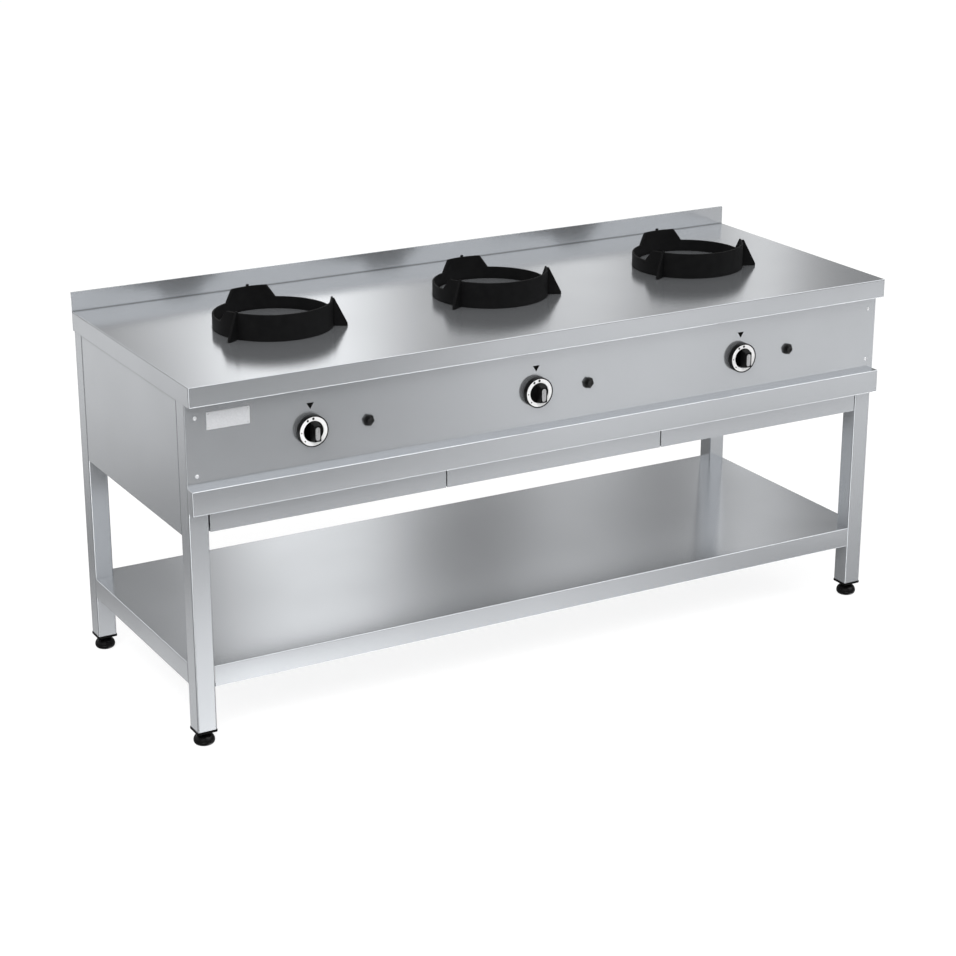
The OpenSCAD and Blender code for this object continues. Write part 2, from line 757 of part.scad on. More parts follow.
module burner_body(i) {
    r = burner_d / 2;
    pedestal_r = pedestal_d / 2;
    color("dimgray") translate([burner_x(i), burner_y, 0]) difference() {
        union() {
            rotate_extrude() polygon([[0, hanger_z], [pedestal_r, hanger_z], [pedestal_r, bowl_z],
                [r, cap_z - burner_wall], [r, cap_z], [0, cap_z]]);
            translate([0, 0, mixer_z]) rotate([90, 0, 0]) cylinder(d = mixer_d, h = mixer_l);
        }
        rotate_extrude() polygon([[0, bowl_z + burner_wall],
            [pedestal_r - burner_wall, bowl_z + burner_wall],
            [r - burner_wall, cap_z - burner_wall], [r - burner_wall, cap_z + cut],
            [0, cap_z + cut]]);
        translate([0, 0, mixer_z]) rotate([90, 0, 0])
            cylinder(d = mixer_d - 2 * burner_wall, h = mixer_l + cut);
    }
}

module burner_cap(i) {
    r = burner_d / 2;
    hub_r = pedestal_d / 2;
    color("dimgray") translate([burner_x(i), burner_y, cap_z]) difference() {
        rotate_extrude() polygon([[0, 0], [r, 0], [r, burner_cap_h - burner_wall],
            [r - burner_wall, burner_cap_h], [hub_r + burner_wall, burner_cap_h],
            [hub_r, burner_cap_h - burner_wall], [0, burner_cap_h - burner_wall]]);
        for (k = [0 : slots - 1]) rotate([0, 0, 360 * k / slots])
            block([r - burner_wall, -slot_w / 2, burner_cap_h - slot_h],
                  [r + cut, slot_w / 2, burner_cap_h + cut]);
    }
}

// Straps under the worktop that carry the burners, with holes for the pilot group
module burner_hangers() {
    w = hanger_w / 2;
    drills = [[0, pilot_tube_d], [-pilot_side, lead_d], [pilot_side, lead_d]];
    color(satin) for (i = [0 : 2]) translate([burner_x(i), burner_y, 0]) difference() {
        union() {
            block([-hanger_half, -w, hanger_z - hanger_t], [hanger_half, w, hanger_z]);
            both_sides() {
                block([hanger_half - hanger_t, -w, hanger_z - hanger_t], [hanger_half, w, under_z]);
                block([hanger_half - hanger_t, -w, under_z - hanger_t],
                      [hanger_half + hanger_flange, w, under_z]);
            }
        }
        for (d = drills) translate([pilot_offset, d[0], hanger_z - hanger_t - cut])
            cylinder(d = d[1] + 2 * seat_gap, h = hanger_t + 2 * cut);
    }
}

module pilot_burners() {
    color("darkkhaki") for (i = [0 : 2]) {
        x = burner_x(i) + pilot_offset;
        z = control_z - pilot_drop;
        run([[valve_x(i) - valve_port, valve_mid_y, control_z - valve_h / 2],
             [valve_x(i) - valve_port, valve_mid_y, z], [valve_x(i) - valve_port, burner_y, z],
             [x, burner_y, z], [x, burner_y, hood_z]], pilot_tube_d / 2, pilot_bend);
        translate([x, burner_y, hanger_z]) cylinder(d = pilot_d, h = hood_z - hanger_z);
        translate([x, burner_y, hood_z]) cylinder(d = hood_d, h = hood_h);
    }
}

module thermocouples() {
    color("chocolate") for (i = [0 : 2]) {
        x = burner_x(i) + pilot_offset;
        y = burner_y - pilot_side;
        z = control_z - couple_drop;
        run([[valve_x(i) + valve_port, valve_mid_y, control_z - valve_h / 2],
             [valve_x(i) + valve_port, valve_mid_y, z], [valve_x(i) + valve_port, y, z],
             [x, y, z], [x, y, hood_z]], lead_d / 2, lead_bend);
        translate([x, y, hanger_z]) cylinder(d = probe_d, h = cap_z - hanger_z);
    }
}

module spark_electrodes() {
    color("ivory") for (i = [0 : 2]) {
        x = burner_x(i) + pilot_offset;
        y = burner_y + pilot_side;
        z = control_z - lead_drop;
        y0 = igniter_back_y + lead_out;
        run([[igniter_x(i), igniter_back_y, control_z], [igniter_x(i), y0, control_z],
             [igniter_x(i), y0, z], [igniter_x(i), y, z], [x, y, z], [x, y, electrode_z]],
            lead_d / 2, lead_bend);
        translate([x, y, hanger_z]) cylinder(d = ceramic_d, h = electrode_z - hanger_z);
        translate([x, y, electrode_z]) cylinder(d = electrode_tip_d, h = electrode_tip_l);
    }
}

module gas_valves() {
    bore_v = stem_tail_v - push_travel - stop_gap;
    color("goldenrod") for (i = [0 : 2]) at_panel(valve_x(i)) difference() {
        union() {
            block([-valve_w / 2, -valve_h / 2, valve_back_v], [valve_w / 2, valve_h / 2, valve_v]);
            translate([0, 0, valve_v]) cylinder(d = neck_d, h = neck_l);
            translate([0, 0, boss_v]) cylinder(d = tail_d, h = tail_l);
            translate([0, valve_h / 2, (valve_v + valve_back_v) / 2]) rotate([-90, 0, 0])
                cylinder(d = nipple_d, h = nipple_h);
        }
        translate([0, 0, bore_v]) cylinder(d = stem_d + 2 * run_gap, h = neck_v - bore_v + cut);
    }
}

module gas_manifold() {
    x0 = valve_x(0) - manifold_over;
    inlet_y = rear_y - inlet_inset;
    bore_d = manifold_d - 2 * pipe_wall;
    color("gray") difference() {
        union() {
            run([[x0, manifold_y, control_z], [inlet_x, manifold_y, control_z],
                 [inlet_x, inlet_y - inlet_l, control_z]], manifold_d / 2, manifold_bend);
            rod([inlet_x, inlet_y - 2 * inlet_l, control_z], [inlet_x, inlet_y, control_z], inlet_d / 2);
            for (i = [0 : 2]) rod([valve_x(i), manifold_y - boss_l, control_z],
                                  [valve_x(i), manifold_y, control_z], boss_d / 2);
        }
        run([[x0 + pipe_wall, manifold_y, control_z], [inlet_x, manifold_y, control_z],
             [inlet_x, inlet_y + cut, control_z]], bore_d / 2, manifold_bend);
    }
}

// Angle brackets on the control panel, under the manifold
module manifold_brackets() {
    z = control_z - manifold_d / 2 - seat_gap;
    color(satin) for (i = [0 : 1]) translate([burner_x(i) + burner_pitch / 2, 0, z]) {
        block([-bracket_w / 2, leg_front_y, -bracket_t],
              [bracket_w / 2, manifold_y + manifold_d / 2, 0]);
        block([-bracket_w / 2, leg_front_y, -bracket_h],
              [bracket_w / 2, leg_front_y + bracket_t, 0]);
    }
}

module supply_pipes() {
    cross_y = mouth_y - supply_cross;
    color("goldenrod") for (i = [0 : 2])
        run([[valve_x(i), valve_mid_y, control_z + valve_h / 2 + nipple_h],
             [valve_x(i), valve_mid_y, mixer_z], [valve_x(i), cross_y, mixer_z],
             [burner_x(i), cross_y, mixer_z],
             [burner_x(i), mouth_y - injector_gap - injector_l, mixer_z]],
            supply_d / 2, supply_bend);
}

module injectors() {
    color("gold") for (i = [0 : 2]) translate([burner_x(i), mouth_y - injector_gap, mixer_z]) {
        rod([0, -injector_l, 0], [0, 0, 0], injector_d / 2);
        rod([0, 0, 0], [0, injector_gap + nozzle_in, 0], nozzle_d / 2);
    }
}

module valve_stem(i) {
    color("goldenrod") at_panel(valve_x(i)) {
        translate([0, 0, stem_tail_v]) cylinder(d = stem_d, h = stem_tip_v - stem_tail_v);
        translate([0, 0, collar_v]) cylinder(d = shoulder_d, h = shoulder_t);
    }
}

module stem_collar(i) {
    color(satin) at_panel(valve_x(i)) translate([0, 0, collar_back_v]) difference() {
        cylinder(d = collar_d, h = collar_t);
        translate([0, 0, -cut]) cylinder(d = stem_d + 2 * run_gap, h = collar_t + 2 * cut);
    }
}

module knob(i) {
    r = knob_d / 2;
    dial_v = knob_face - dial_sink - dial_t;
    skirt = [[0, knob_gap], [knob_boss_d / 2, knob_gap], [knob_boss_d / 2, knob_gap + hollow_h],
        [r - skirt_wall, knob_gap + hollow_h], [r - skirt_wall, knob_gap], [r, knob_gap],
        [r, knob_face], [r - rim_w, knob_face], [r - rim_w, dial_v],
        [dial_in_d / 2 - run_gap, dial_v], [dial_in_d / 2 - run_gap, centre_v], [0, centre_v]];
    grip = [[-grip_foot_l / 2, centre_v], [grip_foot_l / 2, centre_v],
        [grip_front_l / 2, grip_face], [-grip_front_l / 2, grip_face]];
    color(black) at_panel(valve_x(i)) difference() {
        union() {
            rotate_extrude() polygon(skirt);
            translate([-grip_w / 2, 0, 0]) rotate([90, 0, 90]) linear_extrude(grip_w) polygon(grip);
        }
        translate([0, 0, knob_gap - cut])
            cylinder(d = stem_d + 2 * run_gap, h = stem_tip_v - knob_gap + cut + seat_gap);
        translate([0, 0, grip_face - insert_t])
            linear_extrude(insert_t + cut) insert_outline(run_gap);
    }
}

module insert_outline(room) {
    r = insert_w / 2 + room;
    l = insert_l - insert_w;
    square([2 * r, l], center = true);
    for (s = [-1, 1]) translate([0, s * l / 2]) circle(r);
}

module grip_insert(i) {
    color("lightgray") at_panel(valve_x(i)) translate([0, 0, grip_face - insert_t])
        linear_extrude(insert_t) insert_outline(0);
}

module dial_ring(i) {
    color("white") at_panel(valve_x(i)) translate([0, 0, knob_face - dial_sink - dial_t])
        difference() {
            cylinder(d = knob_d - 2 * rim_w - 2 * run_gap, h = dial_t);
            translate([0, 0, -cut]) cylinder(d = dial_in_d, h = dial_t + 2 * cut);
        }
}

module igniter_bodies() {
    bore_v = button_tail_v - button_travel - stop_gap;
    color(black) for (i = [0 : 2]) at_panel(igniter_x(i)) difference() {
        union() {
            translate([0, 0, -panel_t - igniter_l]) cylinder(d = igniter_d, h = igniter_l);
            translate([0, 0, -panel_t]) cylinder(d = barrel_d, h = panel_t + barrel_out);
        }
        translate([0, 0, bore_v])
            cylinder(d = button_d + 2 * run_gap, h = barrel_out - bore_v + cut);
    }
}

module igniter_nuts() {
    color(black) for (i = [0 : 2]) at_panel(igniter_x(i)) difference() {
        rotate([0, 0, -nut_turn]) cylinder(d = nut_af / cos(30), h = nut_h, $fn = 6);
        translate([0, 0, -cut]) cylinder(d = barrel_d + 2 * run_gap, h = nut_h + 2 * cut);
    }
}

module igniter_button(i) {
    color(black) at_panel(igniter_x(i)) translate([0, 0, button_tail_v]) difference() {
        cylinder(d = button_d, h = button_l);
        translate([0, 0, button_l - dish_h]) cylinder(d = dish_d, h = dish_h + cut);
    }
}

worktop();
lower_shelf();
control_panel();
mirror([1, 0, 0]) side_panel();  // side_panel_left
side_panel();  // side_panel_right
back_panel();
leg_caps();
for (c = [0 : 3]) {
    leg(c);
    foot(c);
}
panel_screws();
rating_plate();
tray_runners();
burner_hangers();
pilot_burners();
thermocouples();
spark_electrodes();
gas_valves();
gas_manifold();
manifold_brackets();
supply_pipes();
injectors();
igniter_bodies();
igniter_nuts();
for (i = [0 : 2]) {
    drip_tray(i);
    wok_ring(i);
    burner_body(i);
    burner_cap(i);
    valve_stem(i);
    stem_collar(i);
    knob(i);
    dial_ring(i);
    grip_insert(i);
    igniter_button(i);
}
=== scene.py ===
# %% [markdown]
# # Dressing a gas wok range
#
# The solids of the range come in ready, each one where it belongs. This lesson gives them
# the looks of the real thing: folded satin steel whose bends catch the light, coated black
# wok rings, moulded knobs with a pale dial, and the small printed and riveted details.
# Every length below is in metres, so `MM` turns a workshop size into a Blender one.

# %% Load the solids
import json
import math

import bmesh
import bpy
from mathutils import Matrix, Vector
from mathutils.bvhtree import BVHTree


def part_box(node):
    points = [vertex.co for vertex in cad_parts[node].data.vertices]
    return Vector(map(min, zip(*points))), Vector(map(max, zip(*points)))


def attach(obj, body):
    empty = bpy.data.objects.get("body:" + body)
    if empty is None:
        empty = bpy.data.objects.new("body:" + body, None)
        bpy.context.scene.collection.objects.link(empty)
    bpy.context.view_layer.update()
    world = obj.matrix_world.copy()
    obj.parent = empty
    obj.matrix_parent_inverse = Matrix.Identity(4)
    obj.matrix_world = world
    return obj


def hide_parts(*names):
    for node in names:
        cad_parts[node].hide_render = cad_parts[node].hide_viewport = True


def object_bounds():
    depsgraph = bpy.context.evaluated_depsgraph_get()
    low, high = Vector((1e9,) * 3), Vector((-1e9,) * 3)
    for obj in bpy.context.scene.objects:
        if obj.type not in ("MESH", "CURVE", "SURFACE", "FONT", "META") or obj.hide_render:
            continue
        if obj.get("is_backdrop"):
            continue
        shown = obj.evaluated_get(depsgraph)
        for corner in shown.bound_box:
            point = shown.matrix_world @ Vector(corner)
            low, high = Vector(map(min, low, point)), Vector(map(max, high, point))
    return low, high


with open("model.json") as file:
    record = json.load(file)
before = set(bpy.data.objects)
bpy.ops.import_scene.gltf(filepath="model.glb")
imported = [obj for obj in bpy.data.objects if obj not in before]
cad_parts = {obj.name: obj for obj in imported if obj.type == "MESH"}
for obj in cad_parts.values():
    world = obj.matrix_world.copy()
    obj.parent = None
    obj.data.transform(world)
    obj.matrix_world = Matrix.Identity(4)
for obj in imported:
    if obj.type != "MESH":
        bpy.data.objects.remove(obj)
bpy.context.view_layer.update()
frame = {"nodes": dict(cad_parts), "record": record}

MM = 0.001
PLACES = ("left", "middle", "right")
CORNERS = ("front_left", "front_right", "rear_left", "rear_right")
BODY_OF = {n: b for b, nodes in frame["record"]["behaviour"]["bodies"].items() for n in nodes}
SLOT_OF = {s["node"]: s["material_slot"] for s in frame["record"]["subparts"]}

# %% [markdown]
# ## Camera
#
# The picture to match was taken from the front left, a little above the worktop, with a
# long lens. A camera is fixed by its place, by two angles and by its lens, so those numbers
# are all it needs. `to_track_quat` turns the wanted viewing direction into a rotation.

# %% Camera
CAMERA_PLACE = Vector((-2.3006, -4.0222, 1.9636))
CAMERA_TURN = math.radians(-29.4715)
CAMERA_RISE = math.radians(19.4151)
CAMERA_LENS = 86.68
FILM_WIDTH = 36
FAR_LIMIT = 100

backwards = Vector((math.sin(CAMERA_TURN) * math.cos(CAMERA_RISE),
                    -math.cos(CAMERA_TURN) * math.cos(CAMERA_RISE),
                    math.sin(CAMERA_RISE)))
camera_data = bpy.data.cameras.new("studio_camera")
camera_data.lens = CAMERA_LENS
camera_data.sensor_width = FILM_WIDTH
camera_data.clip_end = FAR_LIMIT
camera = bpy.data.objects.new("studio_camera", camera_data)
camera.location = CAMERA_PLACE
camera.rotation_mode = "QUATERNION"
camera.rotation_quaternion = (-backwards).to_track_quat("-Z", "Y")
bpy.context.scene.collection.objects.link(camera)
bpy.context.scene.camera = camera
print("camera at", tuple(round(v, 3) for v in camera.location))

# %% [markdown]
# ## Building node trees in a script
#
# Materials, the sky and repeated pieces are all node trees. Two small helpers keep the
# recipes readable: one adds a node and sets its values, the other wires two sockets.

# %% Node helpers
def add(tree, kind, **values):
    """A new node; a value named in_X sets the input X, any other sets a property."""
    made = tree.nodes.new(kind)
    for key, value in values.items():
        if key.startswith("in_"):
            made.inputs[key[3:].replace("_", " ")].default_value = value
        else:
            setattr(made, key, value)
    return made


def wire(tree, start, end):
    """A link from an output to an input."""
    tree.links.new(start, end)


print("node helpers ready")

# %% [markdown]
# ## Studio
#
# Satin steel has hardly any colour of its own: it shows a blurred picture of the room.
# So the room matters as much as the metal. The sky is white for the camera and lights dull
# surfaces evenly. For reflections it is a grey room with soft boxes of light, placed where each
# face of the range looks for them: the worktop and the shelf mirror what stands behind the
# range, the upright fronts what lies low before it, and the bends what hangs above or lies
# below. Real panels around the range could do the same. Boxes that only reflections see were
# chosen, because they throw no shadow and leave the plain light on dull surfaces as it is.
# A bearing counts clockwise from the back.

# %% Sky
SKY_FILL = 0.60
ROOM_LEVEL = 0.23
SOFT_BOXES = {
    # name: bearing and height in degrees, half width and half height in degrees, brightness added
    "overhead": (125, 52, 30, 22, 2.2),
    "underneath": (105, -58, 22, 18, 3.2),
    "behind_left": (-12, 30, 20, 14, 1.2),
    "behind_first": (25, 20, 2.4, 9, 1.2),
    "behind_first_low": (22.5, 13, 2.4, 4.5, 0.6),
    "behind_second": (32, 17, 1.5, 10, 0.55),
    "behind_third": (36.7, 17, 1.0, 10, 0.85),
    "behind_wall": (28, 11, 9, 4, 0.5),
    "before_middle": (147.5, -15.5, 4, 5, 0.85),
    "before_right": (140, -16, 2.5, 5, 1.0),
    "before_low": (150, -24, 6, 3, 1.1),
    "before_left_low": (158, -27.5, 5, 4.5, 1.8),
    "before_high": (150, 22, 25, 14, 0.80),
    "by_the_camera": (208, -19, 22, 6, 2.2),
    "right_low": (105, -19, 20, 6, 0.8),
    "left_low": (-20, -15.5, 6, 4, 0.65),
    "left_deep": (-21, -25, 5, 3, 0.65),
    "left_high": (-60, 22, 40, 18, 0.5),
    "over_the_camera": (217, 28, 26, 20, 0.6),
}
# a box is full up to its core and gone at its rim, as shares of its half size
BOX_CORE = 0.4
BOX_RIM = 1.5


def heading(bearing, height):
    """Unit vector of a direction given as a compass bearing and a height, in degrees."""
    turn, rise = math.radians(bearing), math.radians(height)
    return Vector((math.sin(turn) * math.cos(rise), math.cos(turn) * math.cos(rise), math.sin(rise)))


def soft_box(tree, way, bearing, height, half_width, half_height, gain):
    """A socket that is gain inside a box of directions and fades to 0 around it."""
    at_box = add(tree, "ShaderNodeMapping", vector_type="TEXTURE")
    at_box.inputs["Location"].default_value = heading(bearing, height)
    at_box.inputs["Rotation"].default_value = (math.radians(height), 0, -math.radians(bearing))
    at_box.inputs["Scale"].default_value = (math.sin(math.radians(half_width)), 1,
                                            math.sin(math.radians(half_height)))
    wire(tree, way, at_box.inputs["Vector"])
    reach = add(tree, "ShaderNodeVectorMath", operation="LENGTH")
    wire(tree, at_box.outputs[0], reach.inputs[0])
    fade = add(tree, "ShaderNodeMapRange", interpolation_type="SMOOTHERSTEP",
               in_From_Min=BOX_RIM, in_From_Max=BOX_CORE, in_To_Max=gain)
    wire(tree, reach.outputs["Value"], fade.inputs["Value"])
    return fade.outputs["Result"]


def switch(tree, factor, plain, other):
    """A shader that is plain where the factor is 0 and other where it is 1."""
    mix = add(tree, "ShaderNodeMixShader")
    wire(tree, factor, mix.inputs[0])
    wire(tree, plain, mix.inputs[1])
    wire(tree, other, mix.inputs[2])
    return mix.outputs[0]


def seen_rays(tree, ray):
    """1 for rays that show a thing to the camera, directly or through something clear."""
    seen = add(tree, "ShaderNodeMath", operation="MAXIMUM")
    wire(tree, ray.outputs["Is Camera Ray"], seen.inputs[0])
    wire(tree, ray.outputs["Is Transmission Ray"], seen.inputs[1])
    return seen.outputs[0]


def light_room(fill, level, boxes):
    """A sky that fills with diffuse light, is white to look at and shows soft boxes in reflections."""
    world = bpy.data.worlds.new("studio_sky")
    world.use_nodes = True
    tree = world.node_tree
    tree.nodes.clear()
    ray = add(tree, "ShaderNodeLightPath")
    way = add(tree, "ShaderNodeTexCoord").outputs["Generated"]
    room = add(tree, "ShaderNodeValue")
    room.outputs[0].default_value = level
    total = room.outputs[0]
    for box in boxes.values():
        both = add(tree, "ShaderNodeMath", operation="ADD")
        wire(tree, total, both.inputs[0])
        wire(tree, soft_box(tree, way, *box), both.inputs[1])
        total = both.outputs[0]
    mirrored = add(tree, "ShaderNodeBackground")
    wire(tree, total, mirrored.inputs["Strength"])
    diffuse = add(tree, "ShaderNodeBackground", in_Strength=fill)
    white = add(tree, "ShaderNodeBackground", in_Strength=1.0)
    for shade in (mirrored, diffuse, white):
        shade.inputs["Color"].default_value = (1, 1, 1, 1)
    indoors = switch(tree, ray.outputs["Is Glossy Ray"], diffuse.outputs[0], mirrored.outputs[0])
    shown = switch(tree, seen_rays(tree, ray), indoors, white.outputs[0])
    wire(tree, shown, add(tree, "ShaderNodeOutputWorld").inputs[0])
    return world


bpy.context.scene.world = light_room(SKY_FILL, ROOM_LEVEL, SOFT_BOXES)
print(len(SOFT_BOXES), "soft boxes in the room")

# %% [markdown]
# The floor is a large pale sheet. For the camera most of its brightness is its own, so it
# runs into the white background, and the rest is real light, so a faint shadow stays under
# the range. Reflections look past it, at the low soft boxes, as they would over a glass floor.

# %% Floor
FLOOR_SIZE = 60.0
FLOOR_DROP = 0.0005
SHADOW_SHARE = 0.36
FLOOR_GLOW = 1.30
FLOOR_GREY = (0.86, 0.86, 0.86, 1)

paper = bpy.data.materials.new("studio_paper")
paper.use_nodes = True
tree = paper.node_tree
tree.nodes.clear()
lit = add(tree, "ShaderNodeBsdfDiffuse")
lit.inputs["Color"].default_value = FLOOR_GREY
glow = add(tree, "ShaderNodeEmission", in_Strength=FLOOR_GLOW)
share = add(tree, "ShaderNodeMath", operation="MULTIPLY")
share.inputs[1].default_value = 1 - SHADOW_SHARE
wire(tree, seen_rays(tree, add(tree, "ShaderNodeLightPath")), share.inputs[0])
surface = switch(tree, share.outputs[0], lit.outputs[0], glow.outputs[0])
wire(tree, surface, add(tree, "ShaderNodeOutputMaterial").inputs["Surface"])

floor_mesh = bpy.data.meshes.new("studio_floor")
half = FLOOR_SIZE / 2
floor_mesh.from_pydata([(-half, -half, -FLOOR_DROP), (half, -half, -FLOOR_DROP),
                        (half, half, -FLOOR_DROP), (-half, half, -FLOOR_DROP)], [], [(0, 1, 2, 3)])
floor_mesh.materials.append(paper)
floor = bpy.data.objects.new("studio_floor", floor_mesh)
floor.visible_glossy = False
bpy.context.scene.collection.objects.link(floor)
floor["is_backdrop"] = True
print("floor of", FLOOR_SIZE, "m")

# %% [markdown]
# Two soft lamps light the colours of the range: a large one above the camera's left shoulder
# and a weaker one from the right. Big lamps give every shadow a soft edge. Steel would mirror
# them as glaring squares from above, so they are hidden from reflections, which the soft boxes
# of the room already serve.

# %% Lamps
LAMPS = {
    # name: place, width, watts
    "key_lamp": ((-2.2, -2.6, 3.4), 2.2, 140),
    "side_lamp": ((3.0, -1.4, 2.2), 1.8, 30),
}
AIM = Vector((0, 0, 0.55))
for name, (place, width, watts) in LAMPS.items():
    lamp_data = bpy.data.lights.new(name, "AREA")
    lamp_data.size = width
    lamp_data.energy = watts
    lamp = bpy.data.objects.new(name, lamp_data)
    lamp.location = place
    lamp.rotation_euler = (AIM - Vector(place)).to_track_quat("-Z", "Y").to_euler()
    lamp.visible_glossy = False
    bpy.context.scene.collection.objects.link(lamp)
bpy.context.scene.view_settings.view_transform = "Standard"
print(len(LAMPS), "lamps")

# %% [markdown]
# ## Finishes
#
# A finish starts from the Principled shader. Its colour, roughness and bump come from noise
# on Object coordinates. Those are the same as the model's own metres here, because every
# piece sits at the origin, so a noise of scale 500 has grains of about two millimetres.

# %% Finish helpers
# nearly all values of a noise lie between these two
NOISE_LOW = 0.3
NOISE_HIGH = 0.7


def finish(name, **values):
    """A material with a Principled shader; values set the shader's sockets by name."""
    made = bpy.data.materials.new(name)
    made.use_nodes = True
    nt = made.node_tree
    nt.nodes.clear()
    shader = add(nt, "ShaderNodeBsdfPrincipled")
    for key, value in values.items():
        shader.inputs[key.replace("_", " ")].default_value = value
    wire(nt, shader.outputs[0], add(nt, "ShaderNodeOutputMaterial").inputs["Surface"])
    return made, nt, shader


def noise(nt, scale, stretch=(1, 1, 1), detail=3.0, rough=0.5):
    """Noise on Object coordinates; stretch above 1 squeezes the grain along that axis."""
    place = add(nt, "ShaderNodeMapping")
    place.inputs["Scale"].default_value = stretch
    wire(nt, add(nt, "ShaderNodeTexCoord").outputs["Object"], place.inputs["Vector"])
    grain = add(nt, "ShaderNodeTexNoise", in_Scale=scale, in_Detail=detail, in_Roughness=rough)
    wire(nt, place.outputs[0], grain.inputs["Vector"])
    return grain.outputs["Fac"]


def between(nt, factor, low, high, target):
    """Sends a number that swings between low and high with the noise to a socket."""
    span = add(nt, "ShaderNodeMapRange", in_From_Min=NOISE_LOW, in_From_Max=NOISE_HIGH,
               in_To_Min=low, in_To_Max=high)
    wire(nt, factor, span.inputs["Value"])
    wire(nt, span.outputs["Result"], target)


def tint(nt, factor, dark, light, shader):
    """Mixes two shades of the base colour by the noise."""
    blend = add(nt, "ShaderNodeMix", data_type="RGBA")
    blend.inputs["A"].default_value = (*dark, 1)
    blend.inputs["B"].default_value = (*light, 1)
    between(nt, factor, 0.0, 1.0, blend.inputs["Factor"])
    wire(nt, blend.outputs["Result"], shader.inputs["Base Color"])


def bump(nt, factor, depth, shader, strength=1.0):
    """Raises the surface by the noise; depth is the height of the grain in metres."""
    relief = add(nt, "ShaderNodeBump", in_Strength=strength, in_Distance=depth)
    wire(nt, factor, relief.inputs["Height"])
    wire(nt, relief.outputs[0], shader.inputs["Normal"])


print("finish helpers ready")

# %% [markdown]
# ### Satin steel
#
# Stainless sheet is ground in one direction. The lines are finer than the eye can part at this
# distance, so the sheet shows as a soft mirror. Stretching the noise along one axis makes the
# lines, and a slower noise adds the faint clouds of handling. A purely metallic shader would
# turn black where it mirrors the black rings; ground steel scatters some light as well, so a
# part of the shader stays diffuse. The long sheets are ground along X, the side sheets along Y
# and the legs along Z.
#
# Inner corners and seams lie in shade. An Ambient Occlusion node tells how closed in a point is
# within a few millimetres, and the steel's colour is darkened there: painted shade.

# %% Satin steel
STEEL_DARK = (0.556, 0.575, 0.599)
STEEL_LIGHT = (0.594, 0.613, 0.638)
STEEL_ROUGH = (0.16, 0.20)
STEEL_METAL = 0.82
CLOUD_SCALE = 5.0
LINE_SCALE = 14.0
LINE_DEPTH = 0.01 * MM
# the grain is drawn out along the grinding and squeezed across it
ALONG = 2
ACROSS = 180
# how dark the painted shade in a closed corner gets, and the open shares at which it is darkest and gone
PAINTED_CORNER_SHADE = 0.30
CORNER_CLOSED = 0.5
CORNER_OPEN = 0.92


def paint_corner_shade(nt, shader, reach):
    """Paints shade: darkens the colour already wired to the shader where surfaces meet in an inner
    corner.
    """
    colour = shader.inputs["Base Color"].links[0].from_socket
    # painted shade: the steel's colour is multiplied darker where the ambient occlusion finds a closed-in
    # corner
    open_share = add(nt, "ShaderNodeAmbientOcclusion", samples=4, in_Distance=reach)
    painted_shade_factor = add(nt, "ShaderNodeMapRange", in_From_Min=CORNER_CLOSED, in_From_Max=CORNER_OPEN,
                in_To_Min=PAINTED_CORNER_SHADE)
    wire(nt, open_share.outputs["AO"], painted_shade_factor.inputs["Value"])
    painted_shade = add(nt, "ShaderNodeMix", data_type="RGBA", blend_type="MULTIPLY", in_Factor=1.0)
    wire(nt, colour, painted_shade.inputs["A"])
    wire(nt, painted_shade_factor.outputs["Result"], painted_shade.inputs["B"])
    wire(nt, painted_shade.outputs["Result"], shader.inputs["Base Color"])


def satin_steel(name, stretch, painted_shade_reach=None):
    """Ground steel; stretch sets the grinding's direction, and the last argument is how far painted shade
    reaches out of inner corners.
    """
    made, nt, shader = finish(name, Metallic=STEEL_METAL, Specular_IOR_Level=0.5)
    clouds = noise(nt, CLOUD_SCALE, detail=2.0)
    lines = noise(nt, LINE_SCALE, stretch, detail=3.0, rough=0.6)
    tint(nt, lines, STEEL_DARK, STEEL_LIGHT, shader)
    if painted_shade_reach:
        paint_corner_shade(nt, shader, painted_shade_reach)
    blend = add(nt, "ShaderNodeMix", in_Factor=0.5)
    wire(nt, clouds, blend.inputs["A"])
    wire(nt, lines, blend.inputs["B"])
    between(nt, blend.outputs["Result"], *STEEL_ROUGH, shader.inputs["Roughness"])
    bump(nt, lines, LINE_DEPTH, shader, 0.15)
    return made


SHEET_X = satin_steel("satin_steel_along_x", (ALONG, ACROSS, ACROSS))
# the side sheets and the worktop carry painted shade in their inner corners
SHEET_Y = satin_steel("satin_steel_along_y", (ACROSS, ALONG, ACROSS), painted_shade_reach=8 * MM)
SHEET_Z = satin_steel("satin_steel_along_z", (ACROSS, ACROSS, ALONG))
WORKTOP_STEEL = satin_steel("worktop_steel", (ALONG, ACROSS, ACROSS), painted_shade_reach=4 * MM)
print("steel:", SHEET_X.name, SHEET_Y.name, SHEET_Z.name, WORKTOP_STEEL.name)

# %% [markdown]
# ### Black finishes
#
# The wok rings are coated steel with a fine, dry grain. The knobs and leg caps are moulded
# plastic with a satin skin, the feet and igniters are a glossier plastic, and the printed ink
# is flat. All are nearly black, so the differences are in roughness, grain and gloss. A dry
# coat mirrors very little, which a low specular level says.

# %% Ring coat and black plastics
COAT_DARK = (0.0040, 0.0040, 0.0042)
COAT_LIGHT = (0.0060, 0.0060, 0.0062)
COAT_ROUGH = (0.50, 0.66)
COAT_GLOSS = 0.12
COAT_GRAIN = 0.4 * MM


def ring_coat():
    """The dry coat of the wok rings."""
    made, nt, shader = finish("ring_coat", Specular_IOR_Level=COAT_GLOSS)
    grain = noise(nt, 650.0, detail=4.0, rough=0.6)
    tint(nt, noise(nt, 60.0), COAT_DARK, COAT_LIGHT, shader)
    between(nt, grain, *COAT_ROUGH, shader.inputs["Roughness"])
    bump(nt, grain, COAT_GRAIN, shader, 0.6)
    return made


